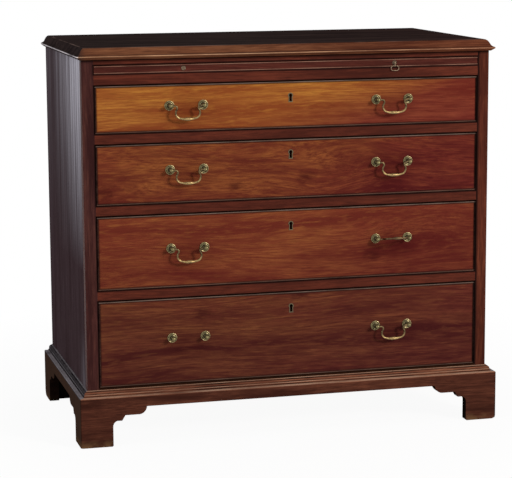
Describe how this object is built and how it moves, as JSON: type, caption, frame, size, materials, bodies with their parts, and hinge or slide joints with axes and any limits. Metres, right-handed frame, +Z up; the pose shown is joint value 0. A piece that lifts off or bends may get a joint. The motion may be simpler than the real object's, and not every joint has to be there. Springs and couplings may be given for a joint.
{
  "type": "dressing chest",
  "caption": "Dressing chest with a moulded top, a pull-out brushing slide, graduated cock-beaded drawers with locks and swan-neck bail handles, a moulded base and bracket feet.",
  "frame": {"origin": "middle of the bounding box on the floor plane", "axes": "+X to the right along the drawer fronts, +Y from the front to the back, +Z up"},
  "size_m": [0.954, 0.5384, 0.861],
  "materials": {
    "mahogany_top": "polished",
    "mahogany_front": "polished",
    "mahogany_carcase": "polished",
    "oak": "plain",
    "pine": "plain",
    "brass": "aged",
    "iron": "dull"
  },
  "bodies": {
    "carcase": {"top": "mahogany_top", "left_side": "mahogany_carcase", "right_side": "mahogany_carcase", "front_stiles": "mahogany_carcase", "bottom_board": "pine", "back_boards": "pine", "top_rail": "mahogany_carcase", "slide_rail": "mahogany_carcase", "drawer_rails": "mahogany_carcase", "dustboards": "oak", "drawer_guides": "pine", "drawer_stops": "pine", "base_moulding": "mahogany_carcase", "plinth": "mahogany_carcase", "foot_front_left": "mahogany_carcase", "foot_front_right": "mahogany_carcase", "foot_rear_left": "mahogany_carcase", "foot_rear_right": "mahogany_carcase", "foot_blocks": "pine"},
    "slide": {"slide_board": "mahogany_front", "slide_cleats": "mahogany_front", "slide_lip": "mahogany_front", "slide_roses": "brass"},
    "ring": {"slide_ring": "brass"},
    "drawer_1": {"drawer_1_front": "mahogany_front", "drawer_1_linings": "oak", "drawer_1_bottom": "oak", "drawer_1_beading": "mahogany_carcase", "drawer_1_brasses": "brass", "drawer_1_lock": "iron"},
    "bolt_1": {"drawer_1_bolt": "iron"},
    "bail_1_left": {"drawer_1_left_bail": "brass"},
    "bail_1_right": {"drawer_1_right_bail": "brass"},
    "drawer_2": {"drawer_2_front": "mahogany_front", "drawer_2_linings": "oak", "drawer_2_bottom": "oak", "drawer_2_beading": "mahogany_carcase", "drawer_2_brasses": "brass", "drawer_2_lock": "iron"},
    "bolt_2": {"drawer_2_bolt": "iron"},
    "bail_2_left": {"drawer_2_left_bail": "brass"},
    "bail_2_right": {"drawer_2_right_bail": "brass"},
    "drawer_3": {"drawer_3_front": "mahogany_front", "drawer_3_linings": "oak", "drawer_3_bottom": "oak", "drawer_3_beading": "mahogany_carcase", "drawer_3_brasses": "brass", "drawer_3_lock": "iron"},
    "bolt_3": {"drawer_3_bolt": "iron"},
    "bail_3_left": {"drawer_3_left_bail": "brass"},
    "bail_3_right": {"drawer_3_right_bail": "brass"},
    "drawer_4": {"drawer_4_front": "mahogany_front", "drawer_4_linings": "oak", "drawer_4_bottom": "oak", "drawer_4_beading": "mahogany_carcase", "drawer_4_brasses": "brass", "drawer_4_lock": "iron"},
    "bolt_4": {"drawer_4_bolt": "iron"},
    "bail_4_right": {"drawer_4_right_bail": "brass"}
  },
  "joints": [
    {"name": "slide_pull", "type": "slide", "parent": "carcase", "child": "slide", "axis": [0, -1, 0], "range_m": [0, 0.28]},
    {"name": "ring_swing", "type": "hinge", "parent": "slide", "child": "ring", "pos_m": [0.237, -0.22435, 0.8076], "axis": [-1, 0, 0], "range_deg": [-6, 150]},
    {"name": "drawer_1_pull", "type": "slide", "parent": "carcase", "child": "drawer_1", "axis": [0, -1, 0], "range_m": [0, 0.36]},
    {"name": "bolt_1_throw", "type": "slide", "parent": "drawer_1", "child": "bolt_1", "axis": [0, 0, 1], "range_m": [0, 0.008]},
    {"name": "bail_1_left_swing", "type": "hinge", "parent": "drawer_1", "child": "bail_1_left", "pos_m": [-0.232, -0.23785, 0.735], "axis": [-1, 0, 0], "range_deg": [-20, 180]},
    {"name": "bail_1_right_swing", "type": "hinge", "parent": "drawer_1", "child": "bail_1_right", "pos_m": [0.232, -0.23785, 0.735], "axis": [-1, 0, 0], "range_deg": [-20, 180]},
    {"name": "drawer_2_pull", "type": "slide", "parent": "carcase", "child": "drawer_2", "axis": [0, -1, 0], "range_m": [0, 0.36]},
    {"name": "bolt_2_throw", "type": "slide", "parent": "drawer_2", "child": "bolt_2", "axis": [0, 0, 1], "range_m": [0, 0.008]},
    {"name": "bail_2_left_swing", "type": "hinge", "parent": "drawer_2", "child": "bail_2_left", "pos_m": [-0.232, -0.23785, 0.597], "axis": [-1, 0, 0], "range_deg": [-20, 180]},
    {"name": "bail_2_right_swing", "type": "hinge", "parent": "drawer_2", "child": "bail_2_right", "pos_m": [0.232, -0.23785, 0.597], "axis": [-1, 0, 0], "range_deg": [-20, 180]},
    {"name": "drawer_3_pull", "type": "slide", "parent": "carcase", "child": "drawer_3", "axis": [0, -1, 0], "range_m": [0, 0.36]},
    {"name": "bolt_3_throw", "type": "slide", "parent": "drawer_3", "child": "bolt_3", "axis": [0, 0, 1], "range_m": [0, 0.008]},
    {"name": "bail_3_left_swing", "type": "hinge", "parent": "drawer_3", "child": "bail_3_left", "pos_m": [-0.232, -0.23785, 0.426], "axis": [-1, 0, 0], "range_deg": [-20, 180]},
    {"name": "bail_3_right_swing", "type": "hinge", "parent": "drawer_3", "child": "bail_3_right", "pos_m": [0.232, -0.23785, 0.426], "axis": [-1, 0, 0], "range_deg": [-121, 79]},
    {"name": "drawer_4_pull", "type": "slide", "parent": "carcase", "child": "drawer_4", "axis": [0, -1, 0], "range_m": [0, 0.36]},
    {"name": "bolt_4_throw", "type": "slide", "parent": "drawer_4", "child": "bolt_4", "axis": [0, 0, 1], "range_m": [0, 0.008]},
    {"name": "bail_4_right_swing", "type": "hinge", "parent": "drawer_4", "child": "bail_4_right", "pos_m": [0.232, -0.23785, 0.229], "axis": [-1, 0, 0], "range_deg": [-20, 180]}
  ]
}
